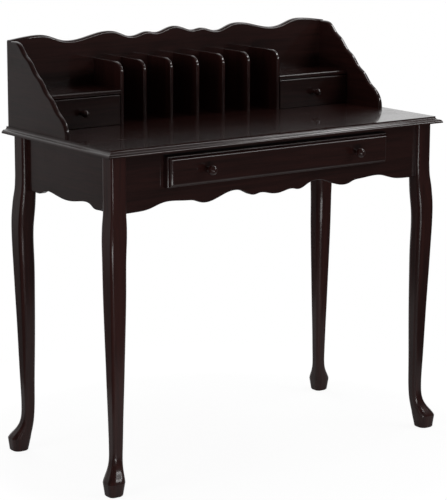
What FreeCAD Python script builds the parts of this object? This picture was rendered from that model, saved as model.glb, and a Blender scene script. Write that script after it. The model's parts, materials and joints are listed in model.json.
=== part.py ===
import FreeCAD, Part
import Sketcher
import os
from types import SimpleNamespace

# A small writing desk on cabriole legs, with a letter rack and two small drawers standing on its top.
# X runs to the right, Y to the back and Z up. The origin is on the floor, at the middle of the whole desk.

# Driving sizes in millimetres
SIZES = {
    # Desk top
    "top_width": 940.0,
    "top_depth": 446.0,
    "top_height": 762.0,
    "top_thickness": 15.0,
    "top_overhang": 20.0,
    "ogee_step": 1.7,
    "ogee_cove": 5.5,
    "ogee_nose": 7.5,
    # Legs: a square post, then shoulder, knee, ankle, rim and sole, each with its own side and outward kick
    "post_side": 39.0,
    "swell_start": 34.0,
    "shoulder_swell": 1.0,
    "shoulder_ease": 0.6,
    "knee_height": 536.0,
    "knee_side": 43.0,
    "knee_kick": 5.9,
    "ankle_height": 101.0,
    "ankle_side": 26.3,
    "ankle_kick": 2.9,
    "rim_height": 30.0,
    "rim_side": 46.0,
    "rim_kick": 18.5,
    "sole_side": 37.5,
    "sole_kick": 19.5,
    "sole_chamfer": 2.0,
    # Aprons
    "apron_height": 128.5,
    "apron_thickness": 16.0,
    "apron_recess": 12.0,
    "apron_edge_radius": 2.0,
    "front_scallop": 22.0,
    "side_scallop": 11.0,
    "back_apron_height": 105.0,
    # Corner blocks and the bolts that hold the legs
    "block_setback": 24.0,
    "block_length": 35.0,
    "block_height": 60.0,
    "bolt_diameter": 8.0,
    "bolt_grip": 30.0,
    "bolt_tail": 4.0,
    "bolt_clearance": 0.2,
    "washer_diameter": 20.0,
    "washer_thickness": 1.6,
    "nut_width": 13.0,
    "nut_thickness": 6.5,
    # Wide drawer and the runners that carry it
    "drawer_margin": 102.0,
    "drawer_front_height": 69.0,
    "drawer_front_thickness": 22.0,
    "drawer_front_drop": 12.0,
    "drawer_lip": 9.0,
    "lip_thickness": 14.0,
    "lip_radius": 3.0,
    "field_inset": 3.0,
    "field_radius": 7.0,
    "drawer_side_gap": 2.0,
    "drawer_rise": 1.5,
    "drawer_box_height": 46.0,
    "drawer_back_room": 38.5,
    "drawer_board": 10.0,
    "drawer_bottom_thickness": 4.0,
    "drawer_bottom_rise": 7.0,
    "groove_depth": 5.0,
    "groove_clearance": 0.2,
    "runner_ledge": 12.0,
    "runner_thickness": 12.0,
    "runner_height": 52.0,
    "guide_gap": 1.0,
    "slide_gap": 0.3,
    "close_gap": 0.5,
    # Hutch
    "hutch_inset": 18.0,
    "hutch_depth": 248.0,
    "hutch_back_thickness": 14.0,
    "hutch_back_trough": 186.0,
    "hutch_back_crest": 18.0,
    "hutch_side_thickness": 12.0,
    "hutch_side_height": 194.0,
    "hutch_side_wave": 6.0,
    "hutch_edge_radius": 4.5,
    "rack_width": 449.0,
    "upright_thickness": 9.5,
    "upright_corner_radius": 27.0,
    "upright_edge_radius": 3.0,
    "partition_height": 142.0,
    "partition_depth": 112.0,
    "divider_height": 140.0,
    "divider_depth": 94.0,
    "shelf_thickness": 10.0,
    "shelf_edge_radius": 2.5,
    # Small drawers
    "small_opening": 70.0,
    "small_gap": 1.2,
    "small_front_thickness": 12.0,
    "small_front_radius": 2.0,
    "small_board": 7.0,
    "small_box_drop": 10.0,
    "small_bottom_thickness": 3.0,
    "small_bottom_rise": 4.0,
    "small_groove_depth": 3.5,
    # Knobs
    "knob_inset": 100.0,
    "knob_radius": 11.0,
    "knob_reach": 31.0,
    "knob_base_radius": 6.5,
    "knob_base_thickness": 2.0,
    "small_knob_radius": 8.5,
    "small_knob_reach": 24.5,
    "small_knob_base_radius": 5.2,
    "small_knob_base_thickness": 1.6,
    "knob_screw_diameter": 4.0,
    "knob_screw_depth": 12.0,
    "knob_screw_clearance": 0.3,
    "screw_head_radius": 4.0,
    "screw_head_thickness": 2.4,
}

# Letter dividers between the two partitions
DIVIDER_COUNT = 5

# Turns of the scalloped edges, from the middle outwards: shares of half the length and of the wave's height
front_scallop_shares = ((0.0, 0.12), (0.11, 0.43), (0.15, 0.27), (0.27, 1.04), (0.49, 0.1), (0.57, 0.55),
                        (0.72, 0.72), (0.89, 0.03))
side_scallop_shares = ((0.0, 0.31), (0.53, 1.17), (0.715, 0.13), (0.87, 0.2))
crest_shares = ((0.0, 1.0), (0.12, 0.3), (0.17, 0.5), (0.27, 0.0), (0.4, 0.92), (0.66, -0.06), (0.82, 1.02))
crest_end_share = 0.52
turn_handle_share = 0.25

# Slope of the hutch sides: a level lead at the back, a wavy run from its top to its foot, and a blunt nose
SLOPE_WAVES = 4
slope_lead_share = 0.06
slope_top_shares = (0.15, 0.98)
slope_foot_shares = (0.92, 0.2)
slope_nose_share = 0.1

# Sections of a leg between its stations: shares of the way up, of the change in side and of that in kick
rim_to_ankle_shares = ((0.17, 0.3, 0.26), (0.325, 0.63, 0.545), (0.55, 0.915, 0.83), (0.75, 0.995, 0.945))
ankle_to_knee_shares = ((0.126, 0.12, 0.0), (0.287, 0.333, 0.1), (0.471, 0.558, 0.2), (0.655, 0.776, 0.46),
                        (0.816, 0.915, 0.76))
knee_to_shoulder_shares = ((0.29, -0.27, 0.21), (0.545, -0.17, 0.49), (0.79, 0.3, 0.74))
shoulder_to_post_shares = ((0.35, 0.6, 0.5), (0.7, 0.9, 0.75))

# Corner radii of a leg's sections in shares of their side: the outer corner, the two beside it, the inner one
sole_corner_shares = (0.3, 0.4, 0.3)
rim_corner_shares = (0.28, 0.4, 0.3)
ankle_corner_shares = (0.25, 0.28, 0.3)
knee_corner_shares = (0.12, 0.2, 0.36)
shoulder_corner_shares = (0.1, 0.16, 0.28)
post_corner_shares = (0.1, 0.14, 0.2)

# Knob profile: the neck where it leaves the base and where it meets the ball, in shares of the radius there
neck_start_share = 0.8
neck_waist_share = 0.38

UP = FreeCAD.Vector(0, 0, 1)
ALONG_X = FreeCAD.Vector(1, 0, 0)
ALONG_Y = FreeCAD.Vector(0, 1, 0)


class Size:
    """A length that carries its value and the sheet formula that it is bound by."""

    def __init__(self, value, text):
        self.value = value
        self.text = text

    @staticmethod
    def of(other):
        return other if isinstance(other, Size) else Size(float(other), f"({other!r})")

    def __add__(self, other):
        other = Size.of(other)
        return Size(self.value + other.value, f"({self.text} + {other.text})")

    def __sub__(self, other):
        other = Size.of(other)
        return Size(self.value - other.value, f"({self.text} - {other.text})")

    def __mul__(self, other):
        other = Size.of(other)
        return Size(self.value * other.value, f"({self.text} * {other.text})")

    def __truediv__(self, other):
        other = Size.of(other)
        return Size(self.value / other.value, f"({self.text} / {other.text})")

    def __neg__(self):
        return Size(-self.value, f"(-1 * {self.text})")

    def toward(self, other, share):
        return self + (other - self) * share


doc = FreeCAD.newDocument("WritingDesk")
sheet = doc.addObject("Spreadsheet::Sheet", "Dims")
for row, (alias, value) in enumerate(SIZES.items(), start=1):
    sheet.set(f"A{row}", alias)
    sheet.set(f"B{row}", str(value))
    sheet.setAlias(f"B{row}", alias)
doc.recompute()
D = SimpleNamespace(**{alias: Size(value, f"Dims.{alias}") for alias, value in SIZES.items()})

pieces = []


def bind(target, prop, size):
    target.setExpression(prop, Size.of(size).text)


def place(target, x=0, y=0, z=0):
    for axis, size in zip("xyz", (x, y, z)):
        bind(target, f"Placement.Base.{axis}", size)
    return target


def keep(target):
    """Count an object among the desk's pieces; its label names its file."""
    pieces.append(target)
    return target


def point(corner):
    x, y = (Size.of(size).value for size in corner)
    return FreeCAD.Vector(x, y, 0)


def new_sketch(body, plane, lift=None):
    sketch = body.newObject("Sketcher::SketchObject", "outline")
    support = next(feature for feature in body.Origin.OriginFeatures if feature.Role == plane)
    sketch.AttachmentSupport = (support, "")
    sketch.MapMode = "FlatFace"
    if lift is not None:
        bind(sketch, "AttachmentOffset.Base.z", lift)
    return sketch


def pin(sketch, geometry, position, corner):
    """Fix one point of a sketch at the two sizes of a corner."""
    for kind, axis, size in zip(("DistanceX", "DistanceY"), (-2, -1), corner):
        size = Size.of(size)
        if size.text == "(0)":
            sketch.addConstraint(Sketcher.Constraint("PointOnObject", geometry, position, axis))
            continue
        index = sketch.addConstraint(Sketcher.Constraint(kind, -1, 1, geometry, position, size.value))
        bind(sketch, f"Constraints[{index}]", size)


def outline(sketch, corners, curves=None, arcs=None):
    """Draw a closed outline through corners, with straight edges unless a table says otherwise.

    curves gives the poles of the curve that leaves a corner. arcs gives the radius of the arc that leaves a
    corner, and True where it turns to the left.
    """
    curves = curves or {}
    arcs = arcs or {}
    first = sketch.GeometryCount
    ends = []
    for number, corner in enumerate(corners):
        start = point(corner)
        stop = point(corners[(number + 1) % len(corners)])
        ends.append((1, 2))
        if number in curves:
            poles = [start, *(point(pole) for pole in curves[number]), stop]
            curve = Part.BSplineCurve()
            curve.buildFromPoles(poles)
            sketch.addGeometry(curve)
        elif number in arcs:
            radius, to_left = arcs[number]
            chord = stop - start
            rise = (radius.value ** 2 - (chord.Length / 2) ** 2) ** 0.5
            side = UP.cross(chord).normalize() * (1 if to_left else -1)
            centre = (start + stop) / 2 + side * rise
            far = centre - side * radius.value
            sketch.addGeometry(Part.Arc(start, far, stop))
            ends[number] = (1, 2) if to_left else (2, 1)
        else:
            sketch.addGeometry(Part.LineSegment(start, stop))
    for number, corner in enumerate(corners):
        before = (number - 1) % len(corners)
        join = (first + before, ends[before][1], first + number, ends[number][0])
        sketch.addConstraint(Sketcher.Constraint("Coincident", *join))
        pin(sketch, first + number, ends[number][0], corner)
    for number, (radius, to_left) in arcs.items():
        index = sketch.addConstraint(Sketcher.Constraint("Radius", first + number, radius.value))
        bind(sketch, f"Constraints[{index}]", radius)
    for number, poles in curves.items():
        first_pole = sketch.GeometryCount
        sketch.exposeInternalGeometry(first + number)
        for offset, pole in enumerate(poles, start=1):
            pin(sketch, first_pole + offset, 3, pole)


def rectangle(width, height, left=0, bottom=0):
    left, bottom = Size.of(left), Size.of(bottom)
    right, top = left + width, bottom + height
    return [(left, bottom), (right, bottom), (right, top), (left, top)]


def pad(body, sketch, length, reverse=False):
    feature = body.newObject("PartDesign::Pad", "board")
    feature.Profile = sketch
    bind(feature, "Length", length)
    feature.Reversed = reverse
    return feature


def pocket(body, sketch, length, reverse=False):
    feature = body.newObject("PartDesign::Pocket", "cut")
    feature.Profile = sketch
    bind(feature, "Length", length)
    feature.Reversed = reverse
    return feature


def soften(body, radius, chosen):
    """Round those edges of a body's solid so far that chosen picks."""
    doc.recompute()
    base = body.Tip
    names = [f"Edge{number}" for number, edge in enumerate(base.Shape.Edges, start=1) if chosen(edge)]
    feature = body.newObject("PartDesign::Fillet", "rounding")
    feature.Base = (base, names)
    bind(feature, "Radius", radius)
    return feature


def new_body(label):
    return doc.addObject("PartDesign::Body", label)


def board(label, plane, length, corners, windows=(), **edges):
    """A board sawn to an outline: drawn on a plane, then as thick or long as given along the plane's axis."""
    body = new_body(label)
    sketch = new_sketch(body, plane)
    outline(sketch, corners, **edges)
    for window in windows:
        outline(sketch, window)
    pad(body, sketch, length, reverse=plane == "XZ_Plane")
    return body


def mirror(label, source, normal, y=0):
    feature = doc.addObject("Part::Mirroring", label)
    feature.Source = source
    feature.Normal = normal
    bind(feature, "Base.y", y)
    return feature


def four_of(label, source, y):
    """One piece at the front left, with its mirror images at the other corners, as one group."""
    right = mirror(f"{label}_right", source, ALONG_X)
    back = mirror(f"{label}_back", source, ALONG_Y, y)
    back_right = mirror(f"{label}_back_right", back, ALONG_X)
    group = doc.addObject("Part::Compound", label)
    group.Links = [source, right, back, back_right]
    return group


def scallops(half_length, base, height, shares):
    """Poles of a symmetric scalloped edge from left to right, two at each turn so that it is level there."""
    right = []
    for number, (along, rise) in enumerate(shares):
        level = base + height * rise
        after = shares[number + 1][0] if number + 1 < len(shares) else 1
        if number:
            before = shares[number - 1][0]
            right.append((half_length * (along - (along - before) * turn_handle_share), level))
        right.append((half_length * (along + (after - along) * turn_handle_share), level))
    left = [(-along, level) for along, level in reversed(right)]
    return left + right


def is_curve(edge):
    return isinstance(edge.Curve, Part.BSplineCurve)


def is_along(edge, axis):
    box = edge.BoundBox
    lengths = dict(X=box.XLength, Y=box.YLength, Z=box.ZLength)
    return isinstance(edge.Curve, Part.Line) and lengths[axis] > sum(lengths.values()) / 2


# Planes that the pieces share
drawer_stand = D.close_gap + D.drawer_front_thickness - D.apron_recess
knob_overrun = D.knob_reach + drawer_stand - D.top_overhang
y_back = (D.top_depth + knob_overrun) / 2
y_middle = y_back - D.top_depth / 2
y_front = y_back - D.top_depth
z_under = D.top_height - D.top_thickness
post_x = D.top_width / 2 - D.top_overhang
post_front = y_front + D.top_overhang
apron_x = post_x - D.apron_recess
apron_front = post_front + D.apron_recess
apron_inside = apron_front + D.apron_thickness
apron_bottom = z_under - D.apron_height
frame_depth = D.top_depth - D.top_overhang * 2
inside_depth = frame_depth - (D.apron_recess + D.apron_thickness) * 2

# Desk top: two moulded lengths, one run across and one along, meet in mitred corners
ogee_width = D.ogee_cove + D.ogee_nose
cove_bottom = D.top_thickness - D.ogee_step - D.ogee_cove
nose_bottom = cove_bottom - D.ogee_nose


def moulded_profile(width, ends):
    """Section of the top from its left end, with the ogee at one end or both."""
    corners = [(0, 0), (0, nose_bottom), (D.ogee_nose, cove_bottom), (ogee_width, cove_bottom + D.ogee_cove),
               (ogee_width, D.top_thickness)]
    arcs = {1: (D.ogee_nose, False), 2: (D.ogee_cove, True)}
    if ends == 1:
        corners += [(width, D.top_thickness), (width, 0)]
        return corners, arcs
    corners += [(width - x, z) for x, z in reversed(corners)]
    arcs.update({6: (D.ogee_cove, True), 7: (D.ogee_nose, False)})
    return corners, arcs


corners, arcs = moulded_profile(D.top_depth, 1)
top_across = board("top_across", "YZ_Plane", D.top_width, corners, arcs=arcs)
place(top_across, -D.top_width / 2, y_front, z_under)
corners, arcs = moulded_profile(D.top_width, 2)
top_along = board("top_along", "XZ_Plane", D.top_depth, corners, arcs=arcs)
place(top_along, -D.top_width / 2, y_front, z_under)
desk_top = doc.addObject("Part::Common", "desk_top")
desk_top.Base = top_across
desk_top.Tool = top_along
keep(desk_top)

# Legs: the foot tapers straight from its rim to the sole, the curve is lofted from the rim up to the post,
# and the post runs straight to the top
swell_top = apron_bottom + D.swell_start
shoulder_side = D.post_side + D.shoulder_swell
shoulder_kick = D.shoulder_swell / 2 + D.shoulder_ease
FOOT = (
    (Size.of(0), D.sole_side - D.sole_chamfer * 2, D.sole_kick, sole_corner_shares),
    (D.sole_chamfer, D.sole_side, D.sole_kick, sole_corner_shares),
    (D.rim_height, D.rim_side, D.rim_kick, rim_corner_shares),
)
STATIONS = (
    (D.rim_height, D.rim_side, D.rim_kick, rim_corner_shares, rim_to_ankle_shares),
    (D.ankle_height, D.ankle_side, D.ankle_kick, ankle_corner_shares, ankle_to_knee_shares),
    (D.knee_height, D.knee_side, D.knee_kick, knee_corner_shares, knee_to_shoulder_shares),
    (apron_bottom, shoulder_side, shoulder_kick, shoulder_corner_shares, shoulder_to_post_shares),
    (swell_top, D.post_side, Size.of(0), post_corner_shares, ()),
)


def leg_sections():
    """Height, side, kick and corner shares of each section, from the rim up."""
    for number, (height, side, kick, rounding, shares) in enumerate(STATIONS):
        yield height, side, kick, rounding
        for up, swell, out in shares:
            next_height, next_side, next_kick, next_rounding, _ = STATIONS[number + 1]
            level = height.toward(next_height, up)
            mixed = [here + (there - here) * up for here, there in zip(rounding, next_rounding)]
            yield level, side.toward(next_side, swell), kick.toward(next_kick, out), mixed


def rounded_square(sketch, side, kick, rounding):
    """A square with rounded corners, moved outwards by the kick along both axes."""
    outer, beside, inner = (side * share for share in rounding)
    radii = [beside, inner, beside, outer]
    signs = [(1, -1), (1, 1), (-1, 1), (-1, -1)]
    outward = [(-ALONG_Y, ALONG_X), (ALONG_X, ALONG_Y), (ALONG_Y, -ALONG_X), (-ALONG_X, -ALONG_Y)]
    middles = [[(side / 2 - radius) * sign - kick for sign in pair] for radius, pair in zip(radii, signs)]
    curves = []
    for radius, middle, (start, stop) in zip(radii, middles, outward):
        diagonal = (start + stop).normalize()
        curves.append([point(middle) + direction * radius.value for direction in (start, diagonal, stop)])
    for number, curve in enumerate(curves):
        following = curves[(number + 1) % len(curves)]
        sketch.addGeometry(Part.Arc(*curve))
        sketch.addGeometry(Part.LineSegment(curve[-1], following[0]))
    for number, (radius, middle) in enumerate(zip(radii, middles)):
        arc, line = 2 * number, 2 * number + 1
        following = (arc + 2) % (2 * len(radii))
        pin(sketch, arc, 3, middle)
        sketch.addConstraint(Sketcher.Constraint("Tangent", arc, 2, line, 1))
        sketch.addConstraint(Sketcher.Constraint("Tangent", line, 2, following, 1))
        index = sketch.addConstraint(Sketcher.Constraint("Radius", arc, radius.value))
        bind(sketch, f"Constraints[{index}]", radius)


def loft(body, label, levels, straight):
    """Join sections at several levels, by straight lines or by one smooth curve."""
    sections = []
    for height, side, kick, rounding in levels:
        sections.append(new_sketch(body, "XY_Plane", lift=height))
        rounded_square(sections[-1], side, kick, rounding)
    doc.recompute()
    feature = body.newObject("PartDesign::AdditiveLoft", label)
    feature.Profile = sections[0]
    feature.Sections = sections[1:]
    feature.Ruled = straight


leg = new_body("cabriole_leg")
loft(leg, "foot", FOOT, True)
loft(leg, "curve", leg_sections(), False)
post = new_sketch(leg, "XY_Plane", lift=swell_top)
rounded_square(post, D.post_side, Size.of(0), post_corner_shares)
pad(leg, post, z_under - swell_top)
place(leg, D.post_side / 2 - post_x, post_front + D.post_side / 2)

# Bolts run along the diagonal of each corner, measured from where the aprons' inner faces would meet
ROOT_TWO = 2 ** 0.5
DIAGONAL = FreeCAD.Rotation(UP, ALONG_X + ALONG_Y)
corner_x = D.apron_thickness - apron_x
post_corner = (D.post_side - D.apron_recess - D.apron_thickness) * ROOT_TWO
block_near = D.block_setback / ROOT_TWO
block_far = (D.block_setback + D.block_length) / ROOT_TWO
bolt_start = post_corner - D.bolt_grip
washer_end = block_far + D.washer_thickness
nut_end = washer_end + D.nut_thickness
bolt_end = nut_end + D.bolt_tail
bolt_z = z_under - D.block_height / 2
drill_radius = D.bolt_diameter / 2 + D.bolt_clearance


def on_diagonal(target, start):
    target.Placement = FreeCAD.Placement(FreeCAD.Vector(), DIAGONAL)
    return place(target, corner_x + start / ROOT_TWO, apron_inside + start / ROOT_TWO, bolt_z)


def rod(label, radius, start, stop):
    cylinder = doc.addObject("Part::Cylinder", label)
    bind(cylinder, "Radius", radius)
    bind(cylinder, "Height", stop - start)
    return on_diagonal(cylinder, start)


def cut(label, base, tool):
    feature = doc.addObject("Part::Cut", label)
    feature.Base = base
    feature.Tool = tool
    return feature


leg_front_left = keep(cut("leg_front_left", leg, rod("leg_drill", drill_radius, bolt_start, block_near)))
keep(mirror("leg_front_right", leg_front_left, ALONG_X))
leg_back_left = keep(mirror("leg_back_left", leg_front_left, ALONG_Y, y_middle))
keep(mirror("leg_back_right", leg_back_left, ALONG_X))

# Corner blocks
block_reach = D.block_setback + D.block_length
block_corners = [(D.block_setback, 0), (block_reach, 0), (0, block_reach), (0, D.block_setback)]
block = board("corner_block", "XY_Plane", D.block_height, block_corners)
place(block, corner_x, apron_inside, z_under - D.block_height)
block_drill = rod("block_drill", drill_radius, Size.of(0), bolt_end)
block_front_left = keep(cut("corner_block_front_left", block, block_drill))
keep(mirror("corner_block_front_right", block_front_left, ALONG_X))
block_back_left = keep(mirror("corner_block_back_left", block_front_left, ALONG_Y, y_middle))
keep(mirror("corner_block_back_right", block_back_left, ALONG_X))

# Bolts, washers and nuts
keep(four_of("leg_bolts", rod("leg_bolt", D.bolt_diameter / 2, bolt_start, bolt_end), y_middle))
washer_rim = rod("washer_rim", D.washer_diameter / 2, block_far, washer_end)
washer = cut("leg_washer", washer_rim, rod("washer_hole", drill_radius, block_near, bolt_end))
keep(four_of("leg_washers", washer, y_middle))
nut_body = doc.addObject("Part::Prism", "nut_body")
bind(nut_body, "Circumradius", D.nut_width / 3 ** 0.5)
bind(nut_body, "Height", D.nut_thickness)
on_diagonal(nut_body, washer_end)
nut = cut("leg_nut", nut_body, rod("nut_thread", drill_radius, block_near, bolt_end))
keep(four_of("leg_nuts", nut, y_middle))

# Front apron, with the window that the wide drawer passes through
front_half = post_x - D.post_side
drawer_front_width = (front_half - D.drawer_margin) * 2
window_width = drawer_front_width - D.drawer_lip * 2
window_height = D.drawer_front_height - D.drawer_lip * 2
drawer_top = D.apron_height - D.drawer_front_drop
window_bottom = drawer_top - D.drawer_front_height + D.drawer_lip
front_corners = rectangle(front_half * 2, D.apron_height, -front_half)
front_waves = scallops(front_half, Size.of(0), D.front_scallop, front_scallop_shares)
window = rectangle(window_width, window_height, -window_width / 2, window_bottom)
front_apron = board("front_apron", "XZ_Plane", D.apron_thickness, front_corners, [window],
                    curves={0: front_waves})
soften(front_apron, D.apron_edge_radius, is_curve)
keep(place(front_apron, 0, apron_front, apron_bottom))

# Side aprons
side_half = frame_depth / 2 - D.post_side
side_corners = rectangle(side_half * 2, D.apron_height, -side_half)
side_waves = scallops(side_half, Size.of(0), D.side_scallop, side_scallop_shares)
left_apron = board("left_apron", "YZ_Plane", D.apron_thickness, side_corners, curves={0: side_waves})
soften(left_apron, D.apron_edge_radius, is_curve)
keep(place(left_apron, -apron_x, y_middle, apron_bottom))
keep(mirror("right_apron", left_apron, ALONG_X))

# Back apron
back_corners = rectangle(front_half * 2, D.back_apron_height, -front_half)
back_apron = board("back_apron", "XZ_Plane", D.apron_thickness, back_corners)
keep(place(back_apron, 0, apron_inside + inside_depth, z_under - D.back_apron_height))

# Runners: a ledge under each drawer side and a guide beside it, from apron to apron
box_width = window_width - D.drawer_side_gap * 2
box_depth = D.close_gap + D.apron_thickness + inside_depth - D.drawer_back_room
box_bottom = apron_bottom + window_bottom + D.drawer_rise
ledge_top = D.runner_thickness
runner_width = D.runner_thickness + D.guide_gap + D.runner_ledge
runner_corners = [(0, 0), (runner_width, 0), (runner_width, ledge_top), (D.runner_thickness, ledge_top),
                  (D.runner_thickness, D.runner_height), (0, D.runner_height)]
runner_left = board("drawer_runner_left", "XZ_Plane", inside_depth, runner_corners)
runner_x = -box_width / 2 - D.guide_gap - D.runner_thickness
keep(place(runner_left, runner_x, apron_inside, box_bottom - D.slide_gap - ledge_top))
keep(mirror("drawer_runner_right", runner_left, ALONG_X))


def grooved_side(label, length, thickness, height, rise, groove, depth):
    """A drawer side, with the groove for the bottom in the face that looks to the right."""
    face = thickness - depth
    corners = [(0, 0), (thickness, 0), (thickness, rise), (face, rise), (face, rise + groove),
               (thickness, rise + groove), (thickness, height), (0, height)]
    return board(label, "XZ_Plane", length, corners)


def front_groove(front, width, bottom, groove, depth):
    """Cut the bottom's groove into the back face of a drawer front."""
    sketch = new_sketch(front, "XZ_Plane")
    outline(sketch, rectangle(width, groove, -width / 2, bottom))
    pocket(front, sketch, depth, reverse=True)


def front_hole(front, x, z, length):
    """Drill a drawer front for a knob's screw."""
    sketch = new_sketch(front, "XZ_Plane")
    radius = D.knob_screw_diameter / 2 + D.knob_screw_clearance
    sketch.addGeometry(Part.Circle(point((x, z)), UP, radius.value))
    pin(sketch, 0, 3, (x, z))
    index = sketch.addConstraint(Sketcher.Constraint("Radius", 0, radius.value))
    bind(sketch, f"Constraints[{index}]", radius)
    pocket(front, sketch, length, reverse=True)


def knob(label, radius, reach, base_radius, base_thickness, x, y, z):
    """A turned knob: a thin base, a waisted neck and a ball, bored for its screw."""
    body = new_body(label)
    sketch = new_sketch(body, "XY_Plane")
    bore = D.knob_screw_diameter / 2 + D.knob_screw_clearance
    depth = D.knob_screw_depth + D.knob_screw_clearance
    ball = reach - radius
    waist = radius * neck_waist_share
    meet = ball - radius * (1 - neck_waist_share ** 2) ** 0.5
    shoulder = base_radius * neck_start_share
    corners = [(bore, 0), (base_radius, 0), (base_radius, -base_thickness), (shoulder, -base_thickness),
               (waist, -meet), (0, -reach), (0, -depth), (bore, -depth)]
    outline(sketch, corners, arcs={4: (radius, False)})
    turning = body.newObject("PartDesign::Revolution", "turning")
    turning.Profile = sketch
    turning.ReferenceAxis = (sketch, ["V_Axis"])
    return place(body, x, y, z)


def knob_screw(label, thickness, x, y, z):
    """A screw through a drawer front, with its head on the inside."""
    body = new_body(label)
    sketch = new_sketch(body, "XY_Plane")
    shank = D.knob_screw_diameter / 2
    tip = -thickness - D.knob_screw_depth
    corners = [(0, tip), (shank, tip), (shank, 0), (D.screw_head_radius, 0),
               (D.screw_head_radius, D.screw_head_thickness), (0, D.screw_head_thickness)]
    outline(sketch, corners)
    turning = body.newObject("PartDesign::Revolution", "turning")
    turning.Profile = sketch
    turning.ReferenceAxis = (sketch, ["V_Axis"])
    return place(body, x, y, z)


# Wide drawer: the front's lip covers the window, and its field stands forward with a rounded edge
front_back = apron_front - D.close_gap
front_face = front_back - D.drawer_front_thickness
front_low = apron_bottom + drawer_top - D.drawer_front_height
groove = D.drawer_bottom_thickness + D.groove_clearance
groove_low = box_bottom + D.drawer_bottom_rise - front_low
knob_x = drawer_front_width / 2 - D.knob_inset
knob_z = D.drawer_front_height / 2

drawer_front = new_body("drawer_front")
lip = new_sketch(drawer_front, "XZ_Plane")
outline(lip, rectangle(drawer_front_width, D.drawer_front_height, -drawer_front_width / 2))
pad(drawer_front, lip, D.lip_thickness)
soften(drawer_front, D.lip_radius, lambda edge: edge.BoundBox.YMax < -D.lip_thickness.value / 2)
field = new_sketch(drawer_front, "XZ_Plane", lift=D.lip_thickness)
field_width = drawer_front_width - D.field_inset * 2
field_height = D.drawer_front_height - D.field_inset * 2
outline(field, rectangle(field_width, field_height, -field_width / 2, D.field_inset))
pad(drawer_front, field, D.drawer_front_thickness - D.lip_thickness)
field_face = -(D.lip_thickness.value + D.drawer_front_thickness.value) / 2
soften(drawer_front, D.field_radius, lambda edge: edge.BoundBox.YMax < field_face)
groove_width = box_width - (D.drawer_board - D.groove_depth) * 2
front_groove(drawer_front, groove_width, groove_low, groove, D.groove_depth)
front_hole(drawer_front, knob_x, knob_z, D.drawer_front_thickness)
front_hole(drawer_front, -knob_x, knob_z, D.drawer_front_thickness)
keep(place(drawer_front, 0, front_back, front_low))

drawer_left = grooved_side("drawer_left_side", box_depth, D.drawer_board, D.drawer_box_height,
                           D.drawer_bottom_rise, groove, D.groove_depth)
keep(place(drawer_left, -box_width / 2, front_back, box_bottom))
keep(mirror("drawer_right_side", drawer_left, ALONG_X))

inner_width = box_width - D.drawer_board * 2
back_rise = D.drawer_bottom_rise + groove
drawer_back = board("drawer_back", "XZ_Plane", D.drawer_board,
                    rectangle(inner_width, D.drawer_box_height - back_rise, -inner_width / 2))
keep(place(drawer_back, 0, front_back + box_depth - D.drawer_board, box_bottom + back_rise))

bottom_width = groove_width - D.groove_clearance * 2
bottom_reach = D.groove_depth - D.groove_clearance
drawer_bottom = board("drawer_bottom", "XZ_Plane", box_depth + bottom_reach,
                      rectangle(bottom_width, D.drawer_bottom_thickness, -bottom_width / 2))
keep(place(drawer_bottom, 0, front_back - bottom_reach, box_bottom + D.drawer_bottom_rise))

knob_left = knob("drawer_knob_left", D.knob_radius, D.knob_reach, D.knob_base_radius, D.knob_base_thickness,
                 -knob_x, front_face, front_low + knob_z)
keep(knob_left)
keep(mirror("drawer_knob_right", knob_left, ALONG_X))
screw_left = knob_screw("drawer_knob_screw_left", D.drawer_front_thickness,
                        -knob_x, front_back, front_low + knob_z)
screws = doc.addObject("Part::Compound", "drawer_knob_screws")
screws.Links = [screw_left, mirror("drawer_knob_screw_right", screw_left, ALONG_X)]
keep(screws)

# Hutch back
rack_front = y_back - D.hutch_back_thickness
crest_end = D.hutch_back_trough + D.hutch_back_crest * crest_end_share
hutch_half = D.top_width / 2 - D.hutch_inset
hutch_corners = [(hutch_half, crest_end), (-hutch_half, crest_end), (-hutch_half, 0), (hutch_half, 0)]
crest = scallops(hutch_half, D.hutch_back_trough, D.hutch_back_crest, crest_shares)
hutch_back = board("hutch_back", "XZ_Plane", D.hutch_back_thickness, hutch_corners, curves={0: crest[::-1]})
soften(hutch_back, D.hutch_edge_radius, is_curve)
keep(place(hutch_back, 0, rack_front, D.top_height))

# Hutch sides
slope_depth = D.hutch_depth - D.hutch_back_thickness
slope_top = [slope_depth * slope_top_shares[0], D.hutch_side_height * slope_top_shares[1]]
slope_foot = [slope_depth * slope_foot_shares[0], D.hutch_side_height * slope_foot_shares[1]]
slope = [(-slope_depth * slope_lead_share, D.hutch_side_height)]
for number in range(2 * SLOPE_WAVES + 1):
    along, level = (top.toward(foot, number / (2 * SLOPE_WAVES)) for top, foot in zip(slope_top, slope_foot))
    slope.append((-along, level - D.hutch_side_wave if number % 2 else level + D.hutch_side_wave))
slope.append((-slope_depth, D.hutch_side_height * slope_nose_share))
slope_corners = [(0, D.hutch_side_height), (-slope_depth, 0), (0, 0)]
hutch_left = board("hutch_left_side", "YZ_Plane", D.hutch_side_thickness, slope_corners, curves={0: slope})
soften(hutch_left, D.hutch_edge_radius, is_curve)
keep(place(hutch_left, -hutch_half, rack_front, D.top_height))
keep(mirror("hutch_right_side", hutch_left, ALONG_X))


def upright(label, depth, height, x):
    """A partition or a divider: its front top corner is rounded, and so are its free edges."""
    body = board(label, "YZ_Plane", D.upright_thickness, rectangle(depth, height, -depth))
    soften(body, D.upright_corner_radius,
           lambda edge: is_along(edge, "X") and edge.BoundBox.ZMin > height.value / 2
           and edge.BoundBox.YMax < -depth.value / 2)
    soften(body, D.upright_edge_radius,
           lambda edge: not is_along(edge, "X") and edge.BoundBox.ZMax > height.value / 2
           and edge.BoundBox.YMin < -depth.value / 2)
    return place(body, x - D.upright_thickness / 2, rack_front, D.top_height)


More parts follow.
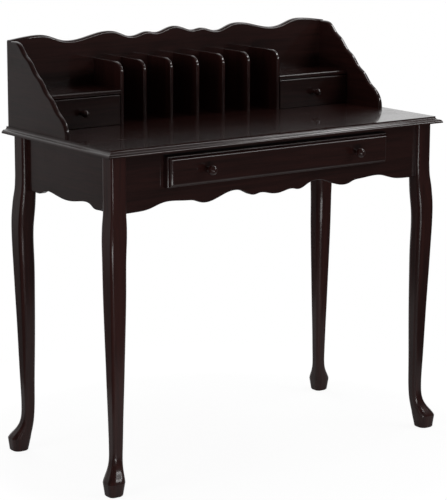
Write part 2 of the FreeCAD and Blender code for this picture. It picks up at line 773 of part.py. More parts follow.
# Partitions and letter dividers
partition_left = upright("hutch_partition_left", D.partition_depth, D.partition_height, -D.rack_width / 2)
keep(partition_left)
keep(mirror("hutch_partition_right", partition_left, ALONG_X))
for number in range(1, DIVIDER_COUNT + 1):
    divider_x = D.rack_width * (number / (DIVIDER_COUNT + 1)) - D.rack_width / 2
    keep(upright(f"letter_divider_{number}", D.divider_depth, D.divider_height, divider_x))

# Shelves over the small drawers
bay_left = D.hutch_side_thickness - hutch_half
bay_right = -(D.rack_width + D.upright_thickness) / 2
bay_width = bay_right - bay_left
bay_middle = (bay_left + bay_right) / 2
shelf_corners = rectangle(D.partition_depth, D.shelf_thickness, -D.partition_depth)
shelf_left = board("shelf_left", "YZ_Plane", bay_width, shelf_corners)
soften(shelf_left, D.shelf_edge_radius,
       lambda edge: is_along(edge, "X") and edge.BoundBox.YMax < -D.partition_depth.value / 2)
keep(place(shelf_left, bay_left, rack_front, D.top_height + D.small_opening))
keep(mirror("shelf_right", shelf_left, ALONG_X))

# Small drawers: inset fronts that fill their bays, flush with the partitions
small_width = bay_width - D.small_gap * 2
small_low = D.top_height + D.slide_gap
small_height = D.small_opening - D.slide_gap - D.small_gap
small_face = rack_front - D.partition_depth
small_back = small_face + D.small_front_thickness
small_depth = D.partition_depth - D.small_front_thickness - D.close_gap
small_groove = D.small_bottom_thickness + D.groove_clearance
small_box_height = small_height - D.small_box_drop
small_groove_width = small_width - (D.small_board - D.small_groove_depth) * 2
small_bottom_width = small_groove_width - D.groove_clearance * 2
small_reach = D.small_groove_depth - D.groove_clearance
small_back_rise = D.small_bottom_rise + small_groove
small_knob_z = small_height / 2


def small_drawer(name, middle):
    front = new_body(f"{name}_front")
    face = new_sketch(front, "XZ_Plane")
    outline(face, rectangle(small_width, small_height, -small_width / 2))
    pad(front, face, D.small_front_thickness)
    soften(front, D.small_front_radius, lambda edge: edge.BoundBox.YMax < -D.small_front_thickness.value / 2)
    front_groove(front, small_groove_width, D.small_bottom_rise, small_groove, D.small_groove_depth)
    front_hole(front, 0, small_knob_z, D.small_front_thickness)
    keep(place(front, middle, small_back, small_low))

    left = grooved_side(f"{name}_left_side", small_depth, D.small_board, small_box_height,
                        D.small_bottom_rise, small_groove, D.small_groove_depth)
    keep(place(left, middle - small_width / 2, small_back, small_low))
    right = mirror(f"{name}_right_side", left, ALONG_X)
    bind(right, "Base.x", middle)
    keep(right)

    inner = small_width - D.small_board * 2
    back = board(f"{name}_back", "XZ_Plane", D.small_board,
                 rectangle(inner, small_box_height - small_back_rise, -inner / 2))
    keep(place(back, middle, small_back + small_depth - D.small_board, small_low + small_back_rise))
    bottom = board(f"{name}_bottom", "XZ_Plane", small_depth + small_reach,
                   rectangle(small_bottom_width, D.small_bottom_thickness, -small_bottom_width / 2))
    keep(place(bottom, middle, small_back - small_reach, small_low + D.small_bottom_rise))

    height = small_low + small_knob_z
    keep(knob(f"{name}_knob", D.small_knob_radius, D.small_knob_reach, D.small_knob_base_radius,
              D.small_knob_base_thickness, middle, small_face, height))
    keep(knob_screw(f"{name}_knob_screw", D.small_front_thickness, middle, small_back, height))


small_drawer("left_drawer", bay_middle)
small_drawer("right_drawer", -bay_middle)

# Check every object, then write each piece to its own file
doc.recompute()
faults = [item.Label for item in doc.Objects if {"Invalid", "Error"} & set(item.State)]
faults += [item.Label for item in pieces if item.Shape.isNull() or not item.Shape.isValid()]
if faults:
    raise RuntimeError(f"These objects did not build: {sorted(set(faults))}")
os.makedirs("parts", exist_ok=True)
for item in pieces:
    item.Shape.exportStep(f"parts/{item.Label}.step")
print(f"{len(pieces)} pieces written")
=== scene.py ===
# %% [markdown]
# # A small writing desk with a letter rack
# The desk was drawn in CAD, one solid for each board, leg, knob and bolt. Blender gives it what CAD doesn't
# have: dark cherry lacquer, bare wood inside the drawers, zinc-plated screws, and a photographer's light.
# The solids could be modelled again here, but then two models would have to agree. They are loaded instead,
# as a fixed frame: one object for each CAD piece, in metres, already in its place.

# %% Load the desk
import json
import math

import bmesh
import bpy
from mathutils import Matrix, Vector

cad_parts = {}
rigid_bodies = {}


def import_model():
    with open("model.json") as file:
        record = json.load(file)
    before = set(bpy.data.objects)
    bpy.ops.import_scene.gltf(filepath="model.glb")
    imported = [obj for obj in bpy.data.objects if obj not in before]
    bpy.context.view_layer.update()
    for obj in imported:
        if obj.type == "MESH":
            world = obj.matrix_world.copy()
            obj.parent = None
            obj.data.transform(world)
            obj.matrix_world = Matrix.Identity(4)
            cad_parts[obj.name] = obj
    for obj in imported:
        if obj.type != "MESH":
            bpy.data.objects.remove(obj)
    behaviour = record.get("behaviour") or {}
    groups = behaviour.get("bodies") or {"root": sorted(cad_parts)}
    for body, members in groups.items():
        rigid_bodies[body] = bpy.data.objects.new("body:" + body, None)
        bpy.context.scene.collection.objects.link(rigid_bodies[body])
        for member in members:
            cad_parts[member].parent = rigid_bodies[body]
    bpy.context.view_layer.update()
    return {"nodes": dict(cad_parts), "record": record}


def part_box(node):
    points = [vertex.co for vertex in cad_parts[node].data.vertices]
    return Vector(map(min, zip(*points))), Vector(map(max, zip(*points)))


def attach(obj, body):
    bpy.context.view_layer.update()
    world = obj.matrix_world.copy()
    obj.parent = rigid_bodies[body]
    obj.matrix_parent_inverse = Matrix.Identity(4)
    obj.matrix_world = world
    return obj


for leftover in list(bpy.data.objects):
    bpy.data.objects.remove(leftover)
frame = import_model()

# %% [markdown]
# ## The camera
# The desk is seen from its left front, from a little above. The lens is long, so that upright edges stay
# nearly parallel. The place and the angles come from the corners of the top, the feet and the rack in the
# photograph. A camera could be aimed with a Track To constraint, but a matrix made of its three axes is
# exact, and it keeps the slight roll of the photograph.

# %% Camera
IMAGE_WIDTH = 447
IMAGE_HEIGHT = 500
FOCAL_PIXELS = 2022.6
SENSOR_MM = 36.0
camera_place = Vector((-2.7469, -3.7274, 1.4372))
yaw, pitch, roll = (math.radians(angle) for angle in (36.23, 11.92, 0.27))

forward = Vector((math.sin(yaw) * math.cos(pitch), math.cos(yaw) * math.cos(pitch), -math.sin(pitch)))
level_right = Vector((math.cos(yaw), -math.sin(yaw), 0))
level_up = level_right.cross(forward)
right = level_right * math.cos(roll) + level_up * math.sin(roll)
up = right.cross(forward)

camera_data = bpy.data.cameras.new("camera")
camera_data.sensor_fit = "VERTICAL"
camera_data.sensor_height = SENSOR_MM
camera_data.lens = SENSOR_MM * FOCAL_PIXELS / IMAGE_HEIGHT
camera = bpy.data.objects.new("camera", camera_data)
camera_axes = Matrix((right, up, -forward)).transposed()
camera.matrix_world = Matrix.Translation(camera_place) @ camera_axes.to_4x4()
bpy.context.scene.collection.objects.link(camera)
bpy.context.scene.camera = camera


def pixel(place):
    """Where a point of the desk lands in the image, in pixels from the top left."""
    ray = place - camera_place
    scale = FOCAL_PIXELS / ray.dot(forward)
    across = IMAGE_WIDTH / 2 + ray.dot(right) * scale
    down = IMAGE_HEIGHT / 2 - ray.dot(up) * scale
    return round(across, 1), round(down, 1)


top_low, top_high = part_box("desk_top")
print("lens", round(camera_data.lens, 1), "mm")
print("the front left corner of the top lands at pixel", pixel(top_low))

# %% [markdown]
# ## Writing shader maths as plain sums
# A finish is a network of nodes. Wiring it by hand takes four lines for every sum, which hides the idea.
# A small class wraps a socket and overloads the operators, so that `1 - mask * 0.3` adds its own Math nodes.

# %% A number that varies
class Value:
    """A number that varies over a surface. Each operator adds one Math node to the same sheet."""

    def __init__(self, sheet, socket):
        self.sheet = sheet
        self.socket = socket

    def math(self, operation, first, second):
        return self.sheet.value("ShaderNodeMath", {"operation": operation}, {0: first, 1: second})

    def __add__(self, other):
        return self.math("ADD", self, other)

    def __radd__(self, other):
        return self.math("ADD", other, self)

    def __sub__(self, other):
        return self.math("SUBTRACT", self, other)

    def __rsub__(self, other):
        return self.math("SUBTRACT", other, self)

    def __mul__(self, other):
        return self.math("MULTIPLY", self, other)

    def __rmul__(self, other):
        return self.math("MULTIPLY", other, self)


print("plus, minus and times now add Math nodes")

# %% [markdown]
# ## One way to add a node
# Every node comes from one method. It sets the node's options before its sockets, because an option can swap
# one set of sockets for another. Three more methods make what the finishes use again and again: a noise,
# a mask with more contrast, and a mix of two colours.

# %% A sheet of nodes
class Sheet:
    """A node tree, with one way to add a node to it."""

    def __init__(self, tree):
        self.tree = tree
        tree.nodes.clear()

    def node(self, kind, settings=None, sockets=None):
        made = self.tree.nodes.new(kind)
        for name, setting in (settings or {}).items():
            setattr(made, name, setting)
        for name, value in (sockets or {}).items():
            self.plug(made.inputs[name], value)
        return made

    def plug(self, socket, value):
        if isinstance(value, Value):
            value = value.socket
        if isinstance(value, bpy.types.NodeSocket):
            self.tree.links.new(value, socket)
        else:
            socket.default_value = value

    def value(self, kind, settings=None, sockets=None, output=0):
        return Value(self, self.node(kind, settings, sockets).outputs[output])

    def noise(self, place, scale, detail, roughness=0.5, distortion=0.0):
        return self.value("ShaderNodeTexNoise", {"noise_dimensions": "3D"}, {
            "Vector": place,
            "Scale": scale,
            "Detail": detail,
            "Roughness": roughness,
            "Distortion": distortion,
        })

    def between(self, mask, low, high):
        """Stretch the part of a mask between two levels to the whole range from 0 to 1."""
        return self.value("ShaderNodeMapRange", {"interpolation_type": "SMOOTHSTEP"},
                          {"Value": mask, "From Min": low, "From Max": high})

    def blend(self, mask, first, second):
        """Mix two colours by a mask."""
        return self.value("ShaderNodeMix", {"data_type": "RGBA"},
                          {"Factor": mask, "A": first, "B": second}, output="Result")


print("sheets can add nodes")

# %% [markdown]
# ## Grain
# Wood grain is long and thin. Coordinates that are squeezed along one axis turn the round spots of a noise
# into streaks along that axis. A picture of wood would need unwrapped boards, and this works on any shape.

# %% Grain
GRAIN_STRETCH = 0.05


def new_finish(name):
    """An empty material and its sheet."""
    material = bpy.data.materials.new(name)
    material.use_nodes = True
    return material, Sheet(material.node_tree)


def object_place(sheet):
    """Object coordinates, which are metres in the desk's own frame."""
    return sheet.node("ShaderNodeTexCoord").outputs["Object"]


def grain_place(sheet, axis):
    """Object coordinates squeezed along the grain, so that round spots become long streaks."""
    squeeze = [GRAIN_STRETCH if number == axis else 1.0 for number in range(3)]
    mapping = sheet.node("ShaderNodeMapping", None, {"Vector": object_place(sheet), "Scale": squeeze})
    return mapping.outputs["Vector"]


print("streaks are", round(1 / GRAIN_STRETCH), "times as long as wide")

# %% [markdown]
# ## Cherry stain under lacquer
# The outside of the desk is stained a cherry so dark that it looks black where nothing shines in it. The
# grain only shows as faint red-brown streaks along each board. A clear lacquer lies over the stain: it
# mirrors the studio, but softly, because sprayed lacquer sinks a little into the pores and dries with a faint
# ripple. One mirror-like layer would look like plastic. So the base is a fairly rough stain, and the Coat of
# the Principled shader is the lacquer. Streaks run along the board, so each direction has its own finish.
# The legs are shaped from solid blocks that take the stain a little redder than the boards do, and their
# curves can't be rubbed as flat, so their shine is softer.

# %% Lacquer
AXES = "xyz"
STAIN_DEEP = (0.0120, 0.0039, 0.0033, 1)
STAIN_WARM = (0.0276, 0.0086, 0.0072, 1)
LEG_DEEP = (0.0154, 0.0046, 0.0039, 1)
LEG_WARM = (0.0374, 0.0103, 0.0085, 1)
BOARD_SHEEN = 0.05
LEG_SHEEN = 0.17


def lacquered_cherry(name, axis, deep, warm, sheen):
    """Dark stain with its grain along one axis, under a coat of lacquer."""
    material, sheet = new_finish(name)
    streaked = grain_place(sheet, axis)
    plain = object_place(sheet)
    streaks = sheet.noise(streaked, scale=130, detail=6, roughness=0.62, distortion=0.4)
    clouds = sheet.noise(streaked, scale=14, detail=3)
    pores = sheet.between(sheet.noise(streaked, scale=900, detail=2), low=0.58, high=0.72)
    ripple = sheet.noise(plain, scale=55, detail=2)
    handling = sheet.between(sheet.noise(plain, scale=9, detail=4, roughness=0.6), low=0.45, high=0.75)
    tone = sheet.between(streaks * 0.6 + clouds * 0.4, low=0.32, high=0.68)
    colour = sheet.blend(tone * (1 - pores * 0.5), deep, warm)
    relief = ripple * 0.6 - pores * 0.25 + streaks * 0.15
    bump = sheet.node("ShaderNodeBump", None, {"Strength": 0.12, "Distance": 0.0004, "Height": relief})
    shader = sheet.node("ShaderNodeBsdfPrincipled", None, {
        "Base Color": colour,
        "Roughness": 0.34 + pores * 0.12 + handling * 0.06,
        "Specular IOR Level": 0.16,
        "Coat Weight": 0.92 - handling * 0.14,
        "Coat Roughness": sheen,
        "Coat IOR": 1.5,
        "Normal": bump.outputs["Normal"],
    })
    sheet.node("ShaderNodeOutputMaterial", None, {"Surface": shader.outputs["BSDF"]})
    return material


lacquer = [lacquered_cherry(f"lacquer_grain_{letter}", axis, STAIN_DEEP, STAIN_WARM, BOARD_SHEEN)
           for axis, letter in enumerate(AXES)]
leg_lacquer = lacquered_cherry("lacquer_legs", AXES.index("z"), LEG_DEEP, LEG_WARM, LEG_SHEEN)
print("made", [material.name for material in lacquer + [leg_lacquer]])

# %% [markdown]
# ## Bare wood inside
# Drawer boxes, runners and corner blocks are sanded and left bare: pale, matt, with fine brown streaks and
# a slow change of tone from board to board. The same stretched noise serves, with lighter colours and no
# coat.

# %% Bare wood
BARE_PALE = (0.62, 0.46, 0.29, 1)
BARE_BROWN = (0.40, 0.265, 0.145, 1)


def bare_wood(name, axis):
    """Pale sanded wood with its grain along one axis."""
    material, sheet = new_finish(name)
    streaked = grain_place(sheet, axis)
    rings = sheet.noise(streaked, scale=70, detail=5, roughness=0.6, distortion=0.8)
    fibres = sheet.noise(streaked, scale=700, detail=3, roughness=0.7)
    boards = sheet.noise(object_place(sheet), scale=4, detail=2)
    tone = sheet.between(rings * 0.55 + fibres * 0.25 + boards * 0.2, low=0.36, high=0.68)
    relief = fibres * 0.7 + rings * 0.3
    bump = sheet.node("ShaderNodeBump", None, {"Strength": 0.25, "Distance": 0.0003, "Height": relief})
    shader = sheet.node("ShaderNodeBsdfPrincipled", None, {
        "Base Color": sheet.blend(tone, BARE_PALE, BARE_BROWN),
        "Roughness": 0.56 + fibres * 0.16,
        "Specular IOR Level": 0.35,
        "Normal": bump.outputs["Normal"],
    })
    sheet.node("ShaderNodeOutputMaterial", None, {"Surface": shader.outputs["BSDF"]})
    return material


bare = [bare_wood(f"bare_wood_grain_{letter}", axis) for axis, letter in enumerate(AXES)]
print("made", [material.name for material in bare])

# %% [markdown]
# ## Zinc plate
# Bolts, washers, nuts and screws are steel with a thin coat of zinc: a cool grey metal, cloudy, with dull
# patches where it was handled. Metal has no colour under its shine, so the clouds go into roughness as well
# as colour. One even grey would be simpler, but it looks like paint.

# %% Zinc plate
ZINC_BRIGHT = (0.66, 0.67, 0.66, 1)
ZINC_DULL = (0.44, 0.45, 0.45, 1)


def zinc_plate(name):
    """Cloudy grey metal."""
    material, sheet = new_finish(name)
    plain = object_place(sheet)
    clouds = sheet.between(sheet.noise(plain, scale=260, detail=4, roughness=0.6), low=0.35, high=0.7)
    grit = sheet.noise(plain, scale=2600, detail=2)
    bump = sheet.node("ShaderNodeBump", None, {"Strength": 0.1, "Distance": 0.0002, "Height": grit})
    shader = sheet.node("ShaderNodeBsdfPrincipled", None, {
        "Base Color": sheet.blend(clouds, ZINC_BRIGHT, ZINC_DULL),
        "Metallic": 1.0,
        "Roughness": 0.26 + clouds * 0.22,
        "Normal": bump.outputs["Normal"],
    })
    sheet.node("ShaderNodeOutputMaterial", None, {"Surface": shader.outputs["BSDF"]})
    return material


zinc = zinc_plate("zinc_plate")
print("made", zinc.name)

# %% [markdown]
# ## Every board gets its finish
# A board is sawn so that its grain runs along its length. The longest side of each CAD piece's box therefore
# says which way its streaks run, and the record says whether the piece is lacquered, bare or plated. Each
# piece could be given its finish by hand, but a rule can't forget one.

# %% Finishes on the CAD pieces
slots = {part["node"]: part["material_slot"] for part in frame["record"]["subparts"]}
counts = {}
for name, piece in frame["nodes"].items():
    low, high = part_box(name)
    sides = list(high - low)
    axis = sides.index(max(sides))
    finish = {"lacquered_wood": lacquer[axis], "plain_wood": bare[axis], "zinc_steel": zinc}[slots[name]]
    if name.startswith("leg_") and slots[name] == "lacquered_wood":
        finish = leg_lacquer
    piece.material_slots[0].material = finish
    counts[finish.name] = counts.get(finish.name, 0) + 1
print("finishes:", counts)

# %% [markdown]
# ## The shape of a screw head
# The hutch is screwed on from below the top, the corner blocks are screwed to the aprons, and the drawer
# bottoms to their backs. Only the heads show: low domes with a cross recess. A head is a flattened ball. One
# block cuts its lower half away, and two crossed blocks cut the recess. Sizes are shares of the head's radius
# or height, so that one recipe serves every screw. A modelled head would do, but it would have one size.

# %% One head
HEAD_SEGMENTS = 24
HEAD_RINGS = 12
SLOT_WIDTH = 0.26
BASE_WIDTH = 3
BASE_DROP = -0.55


def sized(sheet, width, depth, tall):
    """A vector made of three numbers."""
    return sheet.node("ShaderNodeCombineXYZ", None, {"X": width, "Y": depth, "Z": tall}).outputs[0]


def block(sheet, width, depth, tall, lift):
    """A box whose middle is lifted along Z."""
    cube = sheet.node("GeometryNodeMeshCube", None, {"Size": sized(sheet, width, depth, tall)})
    lifted = {"Geometry": cube.outputs["Mesh"], "Translation": sized(sheet, 0.0, 0.0, lift)}
    return sheet.node("GeometryNodeTransform", None, lifted).outputs[0]


def domed_head(sheet, radius, height, recess):
    """The dome with its cross recess."""
    ball = sheet.node("GeometryNodeMeshUVSphere", None,
                      {"Segments": HEAD_SEGMENTS, "Rings": HEAD_RINGS, "Radius": 1.0})
    dome = sheet.node("GeometryNodeTransform", None,
                      {"Geometry": ball.outputs["Mesh"], "Scale": sized(sheet, radius, radius, height)})
    cut = sheet.node("GeometryNodeMeshBoolean", {"operation": "DIFFERENCE", "solver": "EXACT"},
                     {"Mesh 1": dome.outputs[0]})
    slot = radius * SLOT_WIDTH
    base = radius * BASE_WIDTH
    tools = [
        block(sheet, recess, slot, height, height),
        block(sheet, slot, recess, height, height),
        block(sheet, base, base, height, height * BASE_DROP),
    ]
    tool_input = cut.inputs["Mesh 2"]
    for tool in tools:
        sheet.tree.links.new(tool, tool_input)
    return cut.outputs["Mesh"]


print("a head is a dome of", HEAD_SEGMENTS, "by", HEAD_RINGS, "faces before it is cut")

# %% [markdown]
# ## Smooth dome, crisp recess
# The dome is polished and the recess is stamped, so the faces are shaded smooth and the sharp edges stay
# sharp. Each head is then turned to the direction that its point carries, and a seeded spin keeps the crosses
# from lining up. Angles for every screw could be written by hand, but they would be wrong after a change.

# %% Edges and turns
CRISP_ANGLE = 0.6


def crisp_edges(sheet, geometry):
    """Shade the faces smooth, apart from edges with a larger angle than CRISP_ANGLE, in radians."""
    smooth = sheet.node("GeometryNodeSetShadeSmooth", {"domain": "FACE"}, {"Geometry": geometry})
    angle = sheet.node("GeometryNodeInputMeshEdgeAngle").outputs["Unsigned Angle"]
    crisp = sheet.value("FunctionNodeCompare", {"data_type": "FLOAT", "operation": "GREATER_THAN"},
                        {"A": angle, "B": CRISP_ANGLE})
    edged = sheet.node("GeometryNodeSetShadeSmooth", {"domain": "EDGE"},
                       {"Geometry": smooth.outputs[0], "Selection": crisp, "Shade Smooth": False})
    return edged.outputs[0]


def turned_to_board(sheet, seed):
    """A rotation for each point: its axis along the attribute `facing`, then a random spin about that."""
    facing = sheet.node("GeometryNodeInputNamedAttribute", {"data_type": "FLOAT_VECTOR"}, {"Name": "facing"})
    aimed = sheet.node("FunctionNodeAlignRotationToVector", {"axis": "Z"},
                       {"Vector": facing.outputs["Attribute"]})
    turn = sheet.node("FunctionNodeRandomValue", {"data_type": "FLOAT"},
                      {"Min": 0.0, "Max": math.pi, "Seed": seed})
    spin = sheet.node("FunctionNodeAxisAngleToRotation", None,
                      {"Axis": (0, 0, 1), "Angle": turn.outputs["Value"]})
    turned = sheet.node("FunctionNodeRotateRotation", {"rotation_space": "LOCAL"},
                        {"Rotation": aimed.outputs[0], "Rotate By": spin.outputs[0]})
    return turned.outputs[0]


print("edges over", round(math.degrees(CRISP_ANGLE)), "degrees stay sharp")

# %% [markdown]
# ## One head on every point
# An Array modifier can't follow places that don't lie in a row. Geometry Nodes put one head on every point of
# a bare point mesh, whatever the places are.

# %% The tree that makes the heads
def screw_head_tree():
    """Geometry Nodes that put a plated head on every point."""
    tree = bpy.data.node_groups.new("screw_heads", "GeometryNodeTree")
    tree.interface.new_socket("Geometry", in_out="INPUT", socket_type="NodeSocketGeometry")
    for name in ("Radius", "Height", "Recess"):
        tree.interface.new_socket(name, in_out="INPUT", socket_type="NodeSocketFloat")
    tree.interface.new_socket("Seed", in_out="INPUT", socket_type="NodeSocketInt")
    tree.interface.new_socket("Finish", in_out="INPUT", socket_type="NodeSocketMaterial")
    tree.interface.new_socket("Geometry", in_out="OUTPUT", socket_type="NodeSocketGeometry")
    sheet = Sheet(tree)
    entry = sheet.node("NodeGroupInput")
    radius, height, recess = (Value(sheet, entry.outputs[name]) for name in ("Radius", "Height", "Recess"))
    copies = sheet.node("GeometryNodeInstanceOnPoints", None, {
        "Points": entry.outputs["Geometry"],
        "Instance": crisp_edges(sheet, domed_head(sheet, radius, height, recess)),
        "Rotation": turned_to_board(sheet, entry.outputs["Seed"]),
    })
    real = sheet.node("GeometryNodeRealizeInstances", None, {"Geometry": copies.outputs[0]})
    plated = sheet.node("GeometryNodeSetMaterial", None,
                        {"Geometry": real.outputs[0], "Material": entry.outputs["Finish"]})
    sheet.node("NodeGroupOutput", None, {"Geometry": plated.outputs[0]})
    return tree


head_tree = screw_head_tree()
print("screw heads:", len(head_tree.nodes), "nodes")

# %% [markdown]
# ## From points to a piece
# The points of one body become one mesh, which then slides with its drawer or stands with the desk. The
# modifier could stay on the points, but a plain mesh is what another program can read.

# %% A mesh of heads
HEAD_SEED = 7
HEIGHT_SHARE = 0.5
RECESS_SHARE = 1.25


def screw_heads(name, body, radius, places):
    """One mesh of screw heads for a body, from pairs of a place and the direction that the head faces."""
    mesh = bpy.data.meshes.new(name + "_points")
    mesh.from_pydata([place for place, facing in places], [], [])
    attribute = mesh.attributes.new("facing", "FLOAT_VECTOR", "POINT")
    directions = [facing for place, facing in places]
    for point, direction in zip(attribute.data, directions):
        point.vector = direction
    points = bpy.data.objects.new(name + "_points", mesh)
    bpy.context.scene.collection.objects.link(points)
    modifier = points.modifiers.new("heads", "NODES")
    modifier.node_group = head_tree
    settings = {
        "Radius": radius,
        "Height": radius * HEIGHT_SHARE,
        "Recess": radius * RECESS_SHARE,
        "Seed": HEAD_SEED,
        "Finish": zinc,
    }
    for item in head_tree.interface.items_tree:
        if item.in_out == "INPUT" and item.name in settings:
            modifier[item.identifier] = settings[item.name]
    bpy.context.view_layer.update()
    evaluated = points.evaluated_get(bpy.context.evaluated_depsgraph_get())
    plain = bpy.data.meshes.new_from_object(evaluated)
    plain.name = name
    points.modifiers.remove(modifier)
    bpy.data.objects.remove(points)
    piece = bpy.data.objects.new(name, plain)
    bpy.context.scene.collection.objects.link(piece)
    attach(piece, body)
    print(name, len(places), "heads,", len(plain.polygons), "faces on", body)


print("a head is", HEIGHT_SHARE, "radii high, with a recess", RECESS_SHARE, "radii across")

# %% [markdown]
# ## Screws in the desk
# Each corner block has four screws that face the inside of the desk, and the hutch is screwed on through the
# top. Every place is read from the boxes of the CAD pieces, so the heads stay on their boards if a size
# changes. Places typed in as numbers would be shorter, and wrong after the first change.

# %% Screws in the desk
DOWN = Vector((0, 0, -1))
DESK_SCREW_RADIUS = 0.0042
BLOCK_ALONG = 0.028
BLOCK_UP = 0.018
HUTCH_SIDE_PLACES = (0.35, 0.75)
HUTCH_BACK_PLACES = (0.15, 0.38, 0.62, 0.85)


def part_way(start, end, share):
    """The number that lies at a share of the way from start to end."""
    return start + (end - start) * share


desk_screws = []
middle_y = (top_low.y + top_high.y) / 2
for corner in ("front_left", "front_right", "back_left", "back_right"):
    low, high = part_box("corner_block_" + corner)
    centre = (low + high) / 2
    facing = Vector((-math.copysign(1, centre.x), math.copysign(1, middle_y - centre.y), 0)).normalized()
    along = facing.cross(DOWN)
    for side in (-1, 1):
        for rise in (-1, 1):
            spot = centre + along * (side * BLOCK_ALONG) - DOWN * (rise * BLOCK_UP)
            desk_screws.append((spot, facing))

for side in ("left", "right"):
    low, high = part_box(f"hutch_{side}_side")
    for share in HUTCH_SIDE_PLACES:
        spot = Vector(((low.x + high.x) / 2, part_way(low.y, high.y, share), top_low.z))
        desk_screws.append((spot, DOWN))
low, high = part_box("hutch_back")
for share in HUTCH_BACK_PLACES:
    spot = Vector((part_way(low.x, high.x, share), (low.y + high.y) / 2, top_low.z))
    desk_screws.append((spot, DOWN))
screw_heads("desk_screws", "desk", DESK_SCREW_RADIUS, desk_screws)

# %% [markdown]
# ## Screws under the drawers
# A drawer's bottom lies in grooves at its front and sides, and is screwed to the lower edge of its back. The
# wide drawer has three screws there and a small one has two. They could be left out, because they only show
# from below, but the desk is looked at from below as well.

# %% Screws under the drawers
WIDE_SCREW_RADIUS = 0.0034
WIDE_SCREW_PLACES = (0.12, 0.5, 0.88)
SMALL_SCREW_RADIUS = 0.003
SMALL_SCREW_PLACES = (0.2, 0.8)


def under_drawer(bottom, back, shares):
    """Places under a drawer's bottom, where it is screwed to the back."""
    low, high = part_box(bottom)
    back_low, back_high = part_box(back)
    middle = (back_low.y + back_high.y) / 2
    return [(Vector((part_way(low.x, high.x, share), middle, low.z)), DOWN) for share in shares]


wide_places = under_drawer("drawer_bottom", "drawer_back", WIDE_SCREW_PLACES)
screw_heads("wide_drawer_screws", "wide_drawer", WIDE_SCREW_RADIUS, wide_places)
for side in ("left", "right"):
    small_places = under_drawer(f"{side}_drawer_bottom", f"{side}_drawer_back", SMALL_SCREW_PLACES)
    screw_heads(f"{side}_drawer_screws", f"{side}_drawer", SMALL_SCREW_RADIUS, small_places)

# %% [markdown]
# ## White paper under the desk
# The desk stands on a round sheet of white paper. To the camera it glows white, and only darkens a little in
# the shadow of the feet. Beyond its rim the background takes over without an edge. Lamplight finds only grey
# paper there, and reflections see a tenth of the glow: the Light Path node tells the kinds of ray apart.
# A plain white floor would be simpler, but the lacquer would mirror it, and the legs would turn grey. From
# below the paper is clear, so that the feet can be seen.

# %% White paper
NEAR_GLOW = (1.42, 1.42, 1.42, 1)
RIM_GLOW = (1, 1, 1, 1)
PAPER_GREY = (0.35, 0.35, 0.35, 1)
GLOW_SHARE = 0.65
FADE_START = 0.55
FADE_END = 0.92
FLOOR_MIRRORED = 0.1
SEEN_FROM_BELOW = -0.01
RAY_KINDS = ("Is Camera Ray", "Is Glossy Ray", "Is Transmission Ray")


def ray_kinds(sheet):
    """Masks for the rays that come from the camera, from a mirror image and through something clear."""
    path = sheet.node("ShaderNodeLightPath")
    return [Value(sheet, path.outputs[name]) for name in RAY_KINDS]


def white_paper(name):
    """Paper that glows near the desk for the camera, and fades to the background at its rim."""
    material, sheet = new_finish(name)
    reach = sheet.value("ShaderNodeVectorMath", {"operation": "LENGTH"},
                        {0: object_place(sheet)}, output="Value")
    fade = sheet.between(reach, low=FADE_START, high=FADE_END)
    camera_ray, glossy_ray, through_ray = ray_kinds(sheet)
    seen = camera_ray + (glossy_ray + through_ray) * FLOOR_MIRRORED
    glowing = seen * (GLOW_SHARE + fade * (1 - GLOW_SHARE))
    grey = sheet.node("ShaderNodeBsdfDiffuse", None, {"Color": PAPER_GREY})
    glow = sheet.node("ShaderNodeEmission", None, {"Color": sheet.blend(fade, NEAR_GLOW, RIM_GLOW)})
    paper = sheet.node("ShaderNodeMixShader", None,
                       {"Fac": glowing, 1: grey.outputs[0], 2: glow.outputs[0]})
    incoming = sheet.node("ShaderNodeNewGeometry").outputs["Incoming"]
    tilt = sheet.value("ShaderNodeSeparateXYZ", None, {"Vector": incoming}, output="Z")
    from_above = sheet.between(tilt, low=SEEN_FROM_BELOW, high=0.0)
    clear = sheet.node("ShaderNodeBsdfTransparent")
    one_sided = sheet.node("ShaderNodeMixShader", None,
                           {"Fac": from_above, 1: clear.outputs[0], 2: paper.outputs[0]})
    sheet.node("ShaderNodeOutputMaterial", None, {"Surface": one_sided.outputs[0]})
    return material


paper_finish = white_paper("white_paper")
print("made", paper_finish.name)

# %% [markdown]
# ## Floor
# The sheet of paper is a flat disc just under the feet. A square would do, but its corners would reach
# further out than the fade does.

# %% Floor
FLOOR_RADIUS = 0.95
FLOOR_DROP = 0.0003
FLOOR_SEGMENTS = 96

disc = bmesh.new()
bmesh.ops.create_circle(disc, cap_ends=True, segments=FLOOR_SEGMENTS, radius=FLOOR_RADIUS)
floor_mesh = bpy.data.meshes.new("floor")
disc.to_mesh(floor_mesh)
disc.free()
floor_mesh.transform(Matrix.Translation((0, 0, -FLOOR_DROP)))
floor_mesh.materials.append(paper_finish)
floor = bpy.data.objects.new("floor", floor_mesh)
bpy.context.scene.collection.objects.link(floor)
print("floor disc of", FLOOR_RADIUS, "m radius")

# %% [markdown]
# ## Studio light
# Dark lacquer shows little but reflections, so each lamp is placed by what it does to the desk. Two narrow
# lamps at the right draw bright lines along rounded edges, and dots on the knobs. A tall, weak strip at the
# left catches the corners of the legs.
#
# The other lamps bring out the red of the stain. Low in front, overhead, behind and at the left there is a
# lamp that reflections don't see, because its mirror image would draw hard white lines or a grey haze on flat
# boards. One weaker lamp low in front is mirrored, for soft lines on the legs. It stands a little nearer than
# its neighbour, because in the same place it doesn't show. The panel overhead also gives the floor its soft
# shadow. One big lamp would be simpler, but it would wash out the whole front.

# %% Lights
DESK_MIDDLE = (0, 0, 0.7)
UNDER_TOP = (0, 0, 0.5)
RIGHT_FLOOR = (1.1, -0.25, 0)


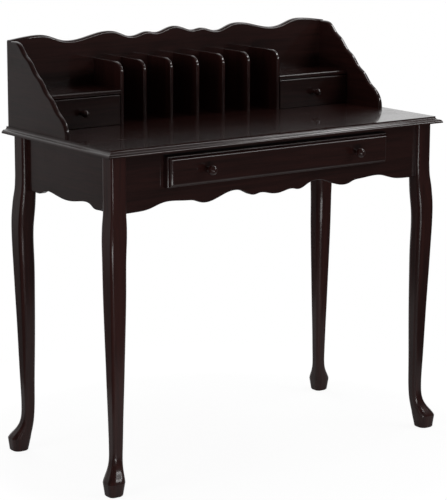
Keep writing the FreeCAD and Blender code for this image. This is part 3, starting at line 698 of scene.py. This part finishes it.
def soft_box(name, place, aim, width, height, power, mirrored=True):
    """A rectangular lamp that the camera doesn't see, and reflections only if it is mirrored."""
    data = bpy.data.lights.new(name, "AREA")
    data.shape = "RECTANGLE"
    data.size = width
    data.size_y = height
    data.energy = power
    lamp = bpy.data.objects.new(name, data)
    lamp.location = place
    lamp.rotation_euler = (Vector(aim) - Vector(place)).to_track_quat("-Z", "Y").to_euler()
    lamp.visible_camera = False
    lamp.visible_glossy = mirrored
    bpy.context.scene.collection.objects.link(lamp)
    return lamp


lamps = [
    soft_box("right_lamp", (1.2, -0.3, 2.1), RIGHT_FLOOR, width=1.1, height=0.3, power=8),
    soft_box("front_right_lamp", (1.55, -1.75, 1.85), DESK_MIDDLE, width=1.4, height=0.25, power=10),
    soft_box("left_strip", (-2.5, -1.5, 0.7), UNDER_TOP, width=0.5, height=1.4, power=1.1),
    soft_box("low_fill", (-0.6, -2.4, 0.17), UNDER_TOP, width=1.6, height=0.28, power=13, mirrored=False),
    soft_box("low_glint", (-0.6, -2.3, 0.17), UNDER_TOP, width=1.6, height=0.28, power=8),
    soft_box("overhead_panel", (0, 0.3, 3.2), DESK_MIDDLE, width=2.4, height=2.4, power=22, mirrored=False),
    soft_box("back_fill", (0.3, 2.4, 0.9), DESK_MIDDLE, width=1.8, height=0.9, power=22, mirrored=False),
    soft_box("left_fill", (-2.4, -0.2, 1.3), DESK_MIDDLE, width=1.0, height=1.0, power=13, mirrored=False),
]
print(len(lamps), "lamps; reflections see", [lamp.name for lamp in lamps if lamp.visible_glossy])

# %% [markdown]
# ## The room around it
# The camera sees a white background. White all round would turn dark lacquer grey, so the lacquer sees a dim
# room instead, with a white wall at the back right. The wall shows in the far end of the top, and its soft
# edge turns the left faces a little grey. It ends at the floor, so reflections that look steeply down miss
# it. A picture of a room would give richer reflections, but it would have to be stored with the script.

# %% World
WHITE = (1, 1, 1, 1)
ROOM_LEVEL = 0.05
WALL_TOWARD = Vector((0.45, 0.87, 0.2))
WALL_EDGE = 0.27
WALL_CORE = 1.0
WALL_FOOT = -0.30
WALL_WHOLE = -0.15
WALL_SHARE = 0.9

world = bpy.data.worlds.new("studio")
bpy.context.scene.world = world
world.use_nodes = True
sheet = Sheet(world.node_tree)
direction = sheet.node("ShaderNodeTexCoord").outputs["Generated"]
toward_wall = sheet.value("ShaderNodeVectorMath", {"operation": "DOT_PRODUCT"},
                          {0: direction, 1: WALL_TOWARD}, output="Value")
height = sheet.value("ShaderNodeSeparateXYZ", None, {"Vector": direction}, output="Z")
above_floor = sheet.between(height, low=WALL_FOOT, high=WALL_WHOLE)
wall = sheet.between(toward_wall, low=WALL_EDGE, high=WALL_CORE) * above_floor * WALL_SHARE
camera_ray, glossy_ray, through_ray = ray_kinds(sheet)
lit = camera_ray + (glossy_ray + through_ray) * wall
room = sheet.node("ShaderNodeBackground", None, {"Color": WHITE, "Strength": ROOM_LEVEL})
white = sheet.node("ShaderNodeBackground", None, {"Color": WHITE, "Strength": 1.0})
mixed = sheet.node("ShaderNodeMixShader", None, {"Fac": lit, 1: room.outputs[0], 2: white.outputs[0]})
sheet.node("ShaderNodeOutputWorld", None, {"Surface": mixed.outputs[0]})
bpy.context.scene.view_settings.view_transform = "Standard"
print("room of", len(world.node_tree.nodes), "nodes, shown with the view transform Standard")

# %% Finish
print("desk, paper, lamps and room are in place")
